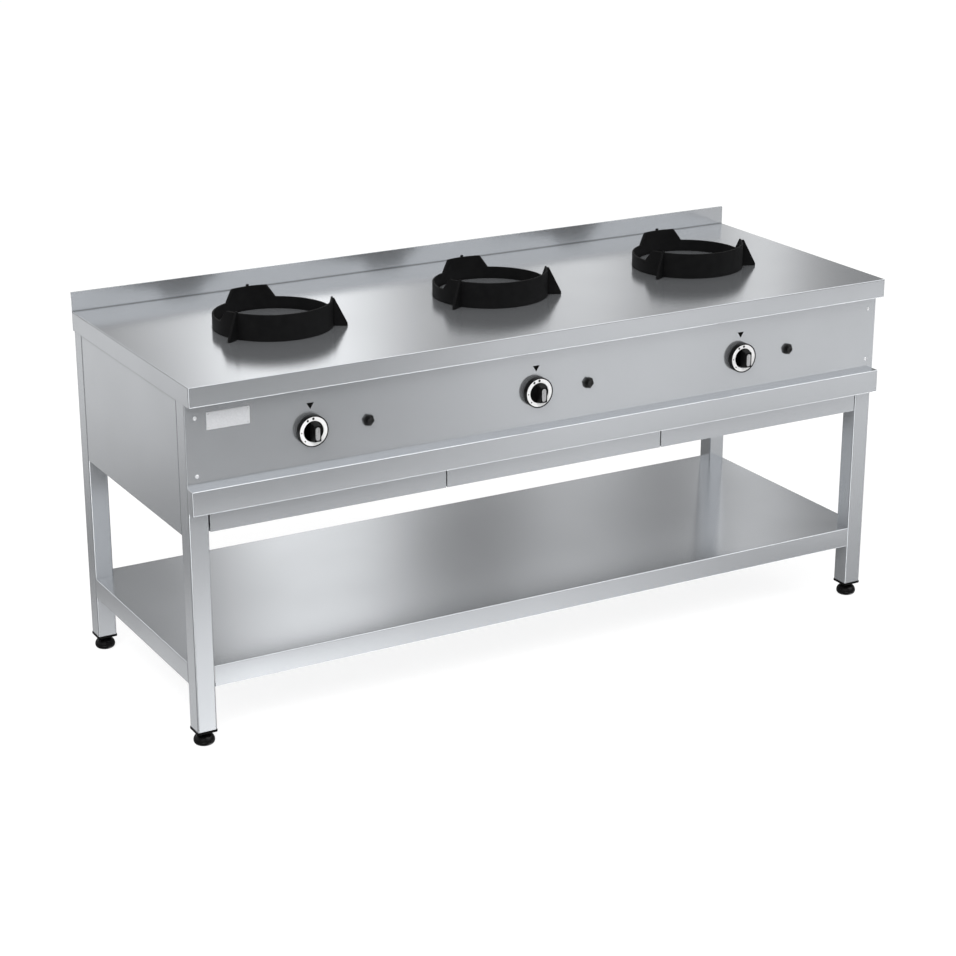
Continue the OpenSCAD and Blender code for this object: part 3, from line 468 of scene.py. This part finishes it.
def black_plastic(name, shade, rough_low, rough_high, grain_depth, gloss=0.16):
    """A nearly black plastic; shade is its darkest level and grain_depth is in metres."""
    made, nt, shader = finish(name, Specular_IOR_Level=gloss)
    grain = noise(nt, 1500.0, detail=2.0)
    tint(nt, noise(nt, 90.0), (shade, shade, shade * 1.04), (shade * 1.7,) * 3, shader)
    between(nt, grain, rough_low, rough_high, shader.inputs["Roughness"])
    bump(nt, grain, grain_depth, shader, 0.5)
    return made


RING_COAT = ring_coat()
KNOB_BLACK = black_plastic("knob_black", 0.0030, 0.28, 0.38, 0.00005, gloss=0.09)
CAP_BLACK = black_plastic("cap_black", 0.0030, 0.35, 0.50, 0.00008, gloss=0.08)
FOOT_BLACK = black_plastic("foot_black", 0.0035, 0.14, 0.22, 0.00002)
IGNITER_BLACK = black_plastic("igniter_black", 0.0040, 0.20, 0.30, 0.00003, gloss=0.5)
PRINT_BLACK = black_plastic("print_black", 0.0025, 0.50, 0.60, 0.00001, gloss=0.05)
print("black finishes ready")

# %% [markdown]
# ### Small finishes
#
# Dial white, brushed insert, the foil plate and the metals inside the body are one recipe
# each: two close shades, a roughness that wanders, and a grain. Each keeps its own node tree,
# so that one finish can be changed without touching the others.

# %% Small finishes
def plain_finish(name, dark, light, rough, scale, metal=0.0, depth=0.00005, stretch=(1, 1, 1)):
    """Two shades, a range of roughness and a grain of one scale; depth is in metres."""
    made, nt, shader = finish(name, Metallic=metal)
    grain = noise(nt, scale, stretch)
    tint(nt, grain, dark, light, shader)
    between(nt, grain, *rough, shader.inputs["Roughness"])
    bump(nt, grain, depth, shader, 0.5)
    return made


DIAL_WHITE = plain_finish("dial_white", (0.78, 0.78, 0.78), (0.84, 0.84, 0.84), (0.30, 0.38), 900)
INSERT_SILVER = plain_finish("insert_silver", (0.66, 0.66, 0.67), (0.76, 0.76, 0.77), (0.22, 0.34),
                             40, 1.0, 0.00003, (40, 1, 1))
PLATE_FOIL = plain_finish("plate_foil", (0.57, 0.58, 0.60), (0.63, 0.64, 0.66), (0.36, 0.46), 300, 0.25)
SCREW_STEEL = plain_finish("screw_steel", (0.84, 0.85, 0.87), (0.90, 0.91, 0.93), (0.20, 0.30), 800, 0.5)
ZINC = plain_finish("zinc_plate", (0.42, 0.44, 0.46), (0.54, 0.56, 0.58), (0.32, 0.48), 70, 1.0)
CAST_IRON = plain_finish("burner_iron", (0.055, 0.053, 0.052), (0.095, 0.092, 0.090), (0.55, 0.75),
                         420, 0.3, 0.0004)
BRASS = plain_finish("valve_brass", (0.60, 0.44, 0.19), (0.70, 0.53, 0.26), (0.22, 0.36), 260, 1.0)
COPPER = plain_finish("pilot_copper", (0.60, 0.31, 0.19), (0.72, 0.40, 0.26), (0.22, 0.4), 180, 1.0)
CERAMIC = plain_finish("spark_ceramic", (0.78, 0.76, 0.69), (0.84, 0.82, 0.76), (0.15, 0.25), 300)
PIPE_GREY = plain_finish("pipe_grey", (0.26, 0.27, 0.28), (0.34, 0.35, 0.36), (0.4, 0.55), 350, 0.6)

FINISH_OF_SLOT = {
    "stainless": SHEET_X, "black_plastic": KNOB_BLACK, "foot_plastic": FOOT_BLACK,
    "screw_steel": SCREW_STEEL, "plate": PLATE_FOIL, "zinc_sheet": ZINC, "ring_black": RING_COAT,
    "burner_iron": CAST_IRON, "copper": COPPER, "ceramic": CERAMIC, "brass": BRASS,
    "pipe_steel": PIPE_GREY, "dial_white": DIAL_WHITE, "insert_silver": INSERT_SILVER,
}


def paint(obj, material):
    """Gives a piece one finish."""
    obj.data.materials.clear()
    obj.data.materials.append(material)


for node_name, node_object in frame["nodes"].items():
    paint(node_object, FINISH_OF_SLOT[SLOT_OF[node_name]])
print("every solid has a finish")

# %% [markdown]
# ## Softening the edges
#
# A solid from a drawing has knife edges, and a knife edge never catches the light. On the
# real range every fold is a small round, and it shows as a bright line. A Bevel modifier can
# do that, but a folded sheet needs two sizes: a wide round along the folds and a tiny one
# along the cut edges, which are only a sheet thick. Edge weights carry that choice.
#
# The copy is merged first, because a solid arrives as loose triangles, and its flat faces
# are joined again, so that the bevel meets clean outlines.

# %% Rounded copies
# an edge is rounded from this turn on; faces that turn less than FLAT are joined to one
SHARP = math.radians(28)
FLAT = math.radians(0.6)
MERGE = 0.01 * MM
ROUND_STEPS = 3
# a fold needs faces this many times as wide as its round, probed at these shares of the edge
ROOM_FACTOR = 1.7
PROBE_SHARES = (0.04, 0.27, 0.5, 0.73, 0.96)
PROBE_HEIGHT = 1.0 * MM
PROBE_ERROR = 0.05 * MM


def has_room(edge, surface, reach):
    """True if both faces beside an outer edge are at least reach wide, all along it."""
    start, end = (v.co for v in edge.verts)
    first, second = (f.normal for f in edge.link_faces)
    for share in PROBE_SHARES:
        point = start.lerp(end, share)
        for up, out in ((first, second), (second, first)):
            inward = (up * up.dot(out) - out).normalized()
            above = point + inward * reach + up * PROBE_HEIGHT
            hit = surface.ray_cast(above, -up, 2 * PROBE_HEIGHT)
            if hit[0] is None or abs(hit[3] - PROBE_HEIGHT) > PROBE_ERROR:
                return False
    return True


def rounded_copy(node_name, fold, cut=None, feet=None):
    """A copy of a solid with round edges: folds by fold, a sheet's cut edges by cut, and the
    lowest ones at its left and right ends by feet."""
    mesh = bpy.data.meshes.new(node_name + "_rounded")
    bm = bmesh.new()
    bm.from_mesh(frame["nodes"][node_name].data)
    bmesh.ops.remove_doubles(bm, verts=bm.verts, dist=MERGE)
    bmesh.ops.dissolve_limit(bm, angle_limit=FLAT, verts=bm.verts, edges=bm.edges)
    bm.normal_update()
    surface = BVHTree.FromBMesh(bm)
    low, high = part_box(node_name)
    weight = bm.edges.layers.float.new("bevel_weight_edge")
    for edge in bm.edges:
        if len(edge.link_faces) != 2 or edge.calc_face_angle(0.0) < SHARP or not edge.is_convex:
            continue
        wide = cut is None or has_room(edge, surface, ROOM_FACTOR * fold)
        at_foot = all(max(min(v.co.x - low.x, high.x - v.co.x), v.co.z - low.z) < MERGE
                      for v in edge.verts)
        narrow = feet if feet and at_foot else cut
        edge[weight] = 1.0 if wide else narrow / fold
    for face in bm.faces:
        face.smooth = True
    bm.to_mesh(mesh)
    bm.free()
    made = bpy.data.objects.new(node_name + "_rounded", mesh)
    bpy.context.scene.collection.objects.link(made)
    rounding = made.modifiers.new("rounding", "BEVEL")
    rounding.limit_method = "WEIGHT"
    rounding.width = fold
    rounding.segments = ROUND_STEPS
    rounding.use_clamp_overlap = False
    return made


print("rounding helper ready")

# %% [markdown]
# Smooth shading blends the normals of all faces round a vertex, which bends the light on
# large flat faces. Here each corner of a face only listens to faces that lie nearly in its
# own plane, and large faces speak louder. So flat sheets stay flat right up to the round of
# their folds, and inner corners stay crisp.

# %% Normals and hand over
BLEND_LIMIT = math.cos(math.radians(50))


def corner_normals(mesh):
    """Sets each face corner's normal from the faces that lie nearly in its own plane."""
    round_vertex = [[] for _ in mesh.vertices]
    for face in mesh.polygons:
        for vertex in face.vertices:
            round_vertex[vertex].append((face.normal.copy(), face.area))
    normals = []
    for face in mesh.polygons:
        for vertex in face.vertices:
            total = Vector()
            for normal, area in round_vertex[vertex]:
                if normal.dot(face.normal) > BLEND_LIMIT:
                    total += normal * area
            normals.append(total.normalized())
    mesh.normals_split_custom_set(normals)


def settle(made):
    """Turns the evaluated result into a plain mesh and drops the modifiers."""
    graph = bpy.context.evaluated_depsgraph_get()
    plain = bpy.data.meshes.new_from_object(made.evaluated_get(graph), depsgraph=graph)
    made.modifiers.clear()
    old = made.data
    made.data = plain
    bpy.data.meshes.remove(old)
    corner_normals(plain)
    return made


def stand_for(made, node_name, material):
    """The finished piece takes the solid's place, on its body and with its finish."""
    settle(made)
    paint(made, material)
    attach(made, BODY_OF[node_name])
    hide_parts(node_name)
    return made


def dress(node_name, edge_round, material):
    """Puts a copy with one round on all its outer edges in a solid's place."""
    return stand_for(rounded_copy(node_name, edge_round), node_name, material)


print("normals and hand over ready")

# %% [markdown]
# ## Folded sheets
#
# Worktop, shelf, control panel, side and back panels and the three drip trays are folded
# sheet. The folds of the worktop are the roundest, because its sheet is the thickest. The side
# panels fit close to the legs, so theirs are tight. Cut edges are only broken, apart from the
# lower edge of the worktop's side aprons, which is rounded enough to catch the light. Inner
# corners stay sharp, and shade painted into the steel's colour draws them as a thin line.

# %% Folded sheets
SHEETS = {
    # node: fold round, finish
    "worktop": (2.4 * MM, WORKTOP_STEEL), "lower_shelf": (2.0 * MM, SHEET_X),
    "control_panel": (2.0 * MM, SHEET_X), "back_panel": (1.6 * MM, SHEET_X),
    "side_panel_left": (0.5 * MM, SHEET_Y), "side_panel_right": (0.5 * MM, SHEET_Y),
    "drip_tray_left": (1.4 * MM, SHEET_X), "drip_tray_middle": (1.4 * MM, SHEET_X),
    "drip_tray_right": (1.4 * MM, SHEET_X),
}
CUT_EDGE = 0.2 * MM
APRON_EDGE = 1.1 * MM
for node_name, (fold, material) in SHEETS.items():
    foot_round = APRON_EDGE if node_name == "worktop" else None
    sheet_piece = stand_for(rounded_copy(node_name, fold, CUT_EDGE, feet=foot_round), node_name, material)
    print(sheet_piece.name, len(sheet_piece.data.polygons), "faces")

# %% [markdown]
# ## Legs, caps and feet
#
# The legs are square tube, whose corners are already round in the solid, so only the cut ends
# need a tiny round. The plastic caps and the turned feet get a moulded edge. All of them could
# be modelled again, but rounded copies keep the exact sizes, and with them the fit of the caps.

# %% Legs, caps and feet
LEG_END = 0.3 * MM
FOOT_EDGE = 0.6 * MM
CAP_EDGE = 0.4 * MM
for corner in CORNERS:
    dress("leg_" + corner, LEG_END, SHEET_Z)
    dress("foot_" + corner, FOOT_EDGE, FOOT_BLACK)
dress("leg_caps", CAP_EDGE, CAP_BLACK)
print("four legs on four feet")

# %% [markdown]
# ## Wok rings and burners
#
# The rings are welded from thick strip and plate, then coated, and the coat rounds every edge
# a little. The burners below them are castings with softened edges. A sculpted skin could show
# the welds, but at this distance a small round and a grain in the finish are all that is seen.

# %% Rings and burners
RING_EDGE = 0.8 * MM
CASTING_EDGE = 0.7 * MM
for place in PLACES:
    dress("wok_ring_" + place, RING_EDGE, RING_COAT)
    dress("burner_cap_" + place, CASTING_EDGE, CAST_IRON)
    dress("burner_body_" + place, CASTING_EDGE, CAST_IRON)
print("three rings over three burners")

# %% [markdown]
# ## Knobs and igniters
#
# Each knob is one moulding with a pale dial ring and a brushed insert let into its grip. The
# igniters are a barrel, a flat hexagon nut and a round button with a dished face. Mouldings
# keep crisp edges at this size, so their rounds are a fraction of a millimetre.

# %% Knobs and igniters
KNOB_EDGE = 0.3 * MM
DIAL_EDGE = 0.15 * MM
INSERT_EDGE = 0.2 * MM
BUTTON_EDGE = 0.8 * MM
IGNITER_EDGE = 0.4 * MM
PLATE_EDGE = 0.2 * MM
for place in PLACES:
    dress("knob_" + place, KNOB_EDGE, KNOB_BLACK)
    dress("dial_ring_" + place, DIAL_EDGE, DIAL_WHITE)
    dress("grip_insert_" + place, INSERT_EDGE, INSERT_SILVER)
    dress("igniter_button_" + place, BUTTON_EDGE, IGNITER_BLACK)
for node_name in ("igniter_bodies", "igniter_nuts"):
    dress(node_name, IGNITER_EDGE, IGNITER_BLACK)
dress("rating_plate", PLATE_EDGE, PLATE_FOIL)
print("knobs, igniters and plate")

# %% [markdown]
# ## Repeated details
#
# Screws, rivets and printed marks are one small shape set down many times. Copying them by
# hand would work for four screws, but a Geometry Nodes tree keeps the shape and the places
# apart: it takes points, sets a piece on each, turns it to face the right way and, for screws,
# spins it by chance, since no two are driven home alike. A fixed seed keeps that chance the
# same every time. The tree ends by making the copies real, because an export drops instances.

# %% Repeat tree
def repeat_tree():
    """The Geometry Nodes tree that sets one piece on every point."""
    group = bpy.data.node_groups.new("repeat_on_points", "GeometryNodeTree")
    for label, kind in (("Points", "Geometry"), ("Piece", "Object"), ("Facing", "Vector"),
                        ("Random turn", "Float"), ("Seed", "Int"), ("Finish", "Material")):
        group.interface.new_socket(label, in_out="INPUT", socket_type="NodeSocket" + kind)
    group.interface.new_socket("Copies", in_out="OUTPUT", socket_type="NodeSocketGeometry")
    given = add(group, "NodeGroupInput").outputs
    piece = add(group, "GeometryNodeObjectInfo", transform_space="ORIGINAL")
    wire(group, given["Piece"], piece.inputs["Object"])
    size = add(group, "GeometryNodeInputNamedAttribute", data_type="FLOAT", in_Name="size")
    facing = add(group, "FunctionNodeEulerToRotation")
    wire(group, given["Facing"], facing.inputs[0])
    copies = add(group, "GeometryNodeInstanceOnPoints")
    wire(group, given["Points"], copies.inputs["Points"])
    wire(group, piece.outputs["Geometry"], copies.inputs["Instance"])
    wire(group, facing.outputs[0], copies.inputs["Rotation"])
    wire(group, size.outputs[0], copies.inputs["Scale"])
    chance = add(group, "FunctionNodeRandomValue", data_type="FLOAT")
    top = next(s for s in chance.inputs if s.name == "Max" and s.enabled)
    wire(group, given["Random turn"], top)
    wire(group, given["Seed"], chance.inputs["Seed"])
    drawn = next(s for s in chance.outputs if s.enabled)
    about = add(group, "ShaderNodeCombineXYZ")
    wire(group, drawn, about.inputs["Z"])
    turn = add(group, "FunctionNodeEulerToRotation")
    wire(group, about.outputs[0], turn.inputs[0])
    spin = add(group, "GeometryNodeRotateInstances")
    wire(group, copies.outputs[0], spin.inputs["Instances"])
    wire(group, turn.outputs[0], spin.inputs["Rotation"])
    real = add(group, "GeometryNodeRealizeInstances")
    wire(group, spin.outputs[0], real.inputs[0])
    coat = add(group, "GeometryNodeSetMaterial")
    wire(group, real.outputs[0], coat.inputs["Geometry"])
    wire(group, given["Finish"], coat.inputs["Material"])
    wire(group, coat.outputs[0], add(group, "NodeGroupOutput").inputs[0])
    return group


REPEAT = repeat_tree()
FACE_FRONT = (math.radians(90), 0, 0)
SEED = 7


def repeated(name, one, places, material, body, sizes=None, random_turn=0.0):
    """Copies of a small mesh, made to stand on Z, set facing the front as one piece on a body."""
    points = bpy.data.meshes.new(name)
    points.from_pydata(places, [], [])
    size = points.attributes.new("size", "FLOAT", "POINT")
    size.data.foreach_set("value", sizes or [1.0] * len(places))
    template = bpy.data.objects.new(name + "_one", one)
    made = bpy.data.objects.new(name, points)
    bpy.context.scene.collection.objects.link(made)
    tool = made.modifiers.new("repeat", "NODES")
    tool.node_group = REPEAT
    inputs = {"Piece": template, "Facing": FACE_FRONT, "Random turn": random_turn, "Seed": SEED,
              "Finish": material}
    for label, value in inputs.items():
        tool[REPEAT.interface.items_tree[label].identifier] = value
    settle(made)
    bpy.data.objects.remove(template)
    paint(made, material)
    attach(made, body)
    return made


print("repeat tree with", len(REPEAT.nodes), "nodes")

# %% [markdown]
# Two ways of making the small shapes are enough: a prism from a flat outline, and a shape
# turned on a lathe from half of its outline. Both are built with bmesh.

# %% Small shapes
TINY_MERGE = 0.0001 * MM


def prism(name, outline, height):
    """A mesh with the outline as its foot at Z 0 and walls up to the height."""
    bm = bmesh.new()
    foot = bm.faces.new([bm.verts.new((x, y, 0)) for x, y in outline])
    raised = bmesh.ops.extrude_face_region(bm, geom=[foot])["geom"]
    bmesh.ops.translate(bm, verts=[v for v in raised if isinstance(v, bmesh.types.BMVert)],
                        vec=(0, 0, height))
    bmesh.ops.recalc_face_normals(bm, faces=bm.faces)
    mesh = bpy.data.meshes.new(name)
    bm.to_mesh(mesh)
    bm.free()
    return mesh


def turned(name, profile, steps):
    """A mesh turned about Z from (radius, height) points that begin and end on the axis."""
    bm = bmesh.new()
    verts = [bm.verts.new((radius, 0, height)) for radius, height in profile]
    edges = [bm.edges.new(pair) for pair in zip(verts, verts[1:])]
    bmesh.ops.spin(bm, geom=verts + edges, axis=(0, 0, 1), cent=(0, 0, 0), angle=2 * math.pi,
                   steps=steps, use_merge=True)
    bmesh.ops.remove_doubles(bm, verts=bm.verts, dist=TINY_MERGE)
    bmesh.ops.recalc_face_normals(bm, faces=bm.faces)
    for face in bm.faces:
        face.smooth = True
    mesh = bpy.data.meshes.new(name)
    bm.to_mesh(mesh)
    bm.free()
    return mesh


def dome(width, rise, steps):
    """Half of the outline of a low dome, from its top on the axis down to its rim."""
    turns = [math.radians(90 * k / steps) for k in range(1, steps + 1)]
    return [(0, rise)] + [(width / 2 * math.sin(a), rise * math.cos(a)) for a in turns]


def circle(radius, steps):
    """Outline of a regular polygon that stands for a circle."""
    return [(radius * math.cos(2 * math.pi * k / steps), radius * math.sin(2 * math.pi * k / steps))
            for k in range(steps)]


print("small shapes ready")

# %% [markdown]
# ### Panel screws
#
# Four pan-head screws hold the control panel to the front legs. The head is turned on the
# lathe, and a Boolean modifier cuts its cross recess. A bump map could fake the recess, but a
# cut one catches the light from every side and costs only a few faces.

# %% Panel screws
SCREW_HEAD = 8.0 * MM
SCREW_RISE = 1.8 * MM
SHANK = 4.0 * MM
SHANK_LENGTH = 9.0 * MM
RECESS_LENGTH = 4.6 * MM
RECESS_WIDTH = 1.1 * MM
RECESS_DEPTH = 0.9 * MM
SCREW_STEPS = 28
HEAD_STEPS = 6
PANEL_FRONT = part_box("rating_plate")[1].y


def cross(length, width):
    """Outline of a plus sign."""
    a, b = length / 2, width / 2
    return [(a, b), (b, b), (b, a), (-b, a), (-b, b), (-a, b),
            (-a, -b), (-b, -b), (-b, -a), (b, -a), (b, -b), (a, -b)]


shank = [(SHANK / 2, 0), (SHANK / 2, -SHANK_LENGTH), (0, -SHANK_LENGTH)]
screw_profile = dome(SCREW_HEAD, SCREW_RISE, HEAD_STEPS) + shank
screw = bpy.data.objects.new("one_screw", turned("one_screw", screw_profile, SCREW_STEPS))
plus = prism("one_recess", cross(RECESS_LENGTH, RECESS_WIDTH), SCREW_RISE)
recess = bpy.data.objects.new("one_recess", plus)
recess.location.z = SCREW_RISE - RECESS_DEPTH
for part in (screw, recess):
    bpy.context.scene.collection.objects.link(part)
cutter = screw.modifiers.new("recess", "BOOLEAN")
cutter.object = recess
cutter.operation = "DIFFERENCE"
settle(screw)
screw_low, screw_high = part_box("panel_screws")
inset = SCREW_HEAD / 2
screw_places = [(x, PANEL_FRONT, z) for x in (screw_low.x + inset, screw_high.x - inset)
                for z in (screw_low.z + inset, screw_high.z - inset)]
screw_mesh = screw.data
for part in (recess, screw):
    bpy.data.objects.remove(part)
screws = repeated("panel_screw_heads", screw_mesh, screw_places, SCREW_STEEL, BODY_OF["panel_screws"],
                  random_turn=math.radians(90))
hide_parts("panel_screws")
print(len(screw_places), "screws")

# %% [markdown]
# ### Rivets on the plate
#
# The plate at the left end is held by four little dome rivets, one in each corner. The repeat
# tree that set the screws sets them too, without a random turn, since a dome looks the same
# from all round.

# %% Plate rivets
RIVET = 3.2 * MM
RIVET_RISE = 0.9 * MM
RIVET_INSET = 3.6 * MM
RIVET_STEPS = 20
RIVET_DOME_STEPS = 5

plate_low, plate_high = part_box("rating_plate")
rivet_profile = dome(RIVET, RIVET_RISE, RIVET_DOME_STEPS) + [(0, 0)]
rivet = turned("one_rivet", rivet_profile, RIVET_STEPS)
rivet_places = [(x, plate_low.y, z) for x in (plate_low.x + RIVET_INSET, plate_high.x - RIVET_INSET)
                for z in (plate_low.z + RIVET_INSET, plate_high.z - RIVET_INSET)]
rivets = repeated("plate_rivets", rivet, rivet_places, SCREW_STEEL, BODY_OF["rating_plate"])
print(len(rivet_places), "rivets")

# %% [markdown]
# ### Printed marks
#
# A black triangle over each knob points at the dial, and the dial carries a few dots for off,
# pilot, full and low. Ink has hardly any thickness, but a thin prism keeps it clear of the
# surface below it. The dots turn with their knob, so each knob's dots ride on its body.

# %% Printed marks
INK = 0.1 * MM
TRIANGLE_WIDTH = 15.4 * MM
TRIANGLE_HEIGHT = 12.2 * MM
TRIANGLE_RISE = 47.0 * MM
DOT = 4.8 * MM
DOT_STEPS = 20
DOT_RADIUS = 25.0 * MM
# angle from the top towards the left in degrees, share of the largest dot
DIAL_DOTS = ((0, 1.0), (28, 0.95), (90, 0.55), (134, 0.6))

triangle = prism("one_triangle", [(-TRIANGLE_WIDTH / 2, TRIANGLE_HEIGHT / 2), (0, -TRIANGLE_HEIGHT / 2),
                                  (TRIANGLE_WIDTH / 2, TRIANGLE_HEIGHT / 2)], INK)
dot = prism("one_dot", circle(DOT / 2, DOT_STEPS), INK)
triangle_places = []
for place in PLACES:
    low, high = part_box("dial_ring_" + place)
    middle = (low + high) / 2
    triangle_places.append((middle.x, PANEL_FRONT, middle.z + TRIANGLE_RISE))
    dot_places = [(middle.x - DOT_RADIUS * math.sin(math.radians(angle)), low.y,
                   middle.z + DOT_RADIUS * math.cos(math.radians(angle))) for angle, _ in DIAL_DOTS]
    dots = repeated("dial_dots_" + place, dot.copy(), dot_places, PRINT_BLACK,
                    BODY_OF["dial_ring_" + place], sizes=[share for _, share in DIAL_DOTS])
marks = repeated("panel_marks", triangle, triangle_places, PRINT_BLACK, BODY_OF["control_panel"])
print(len(triangle_places), "triangles and", len(DIAL_DOTS), "dots on each dial")

# %% Finish
low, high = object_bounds()
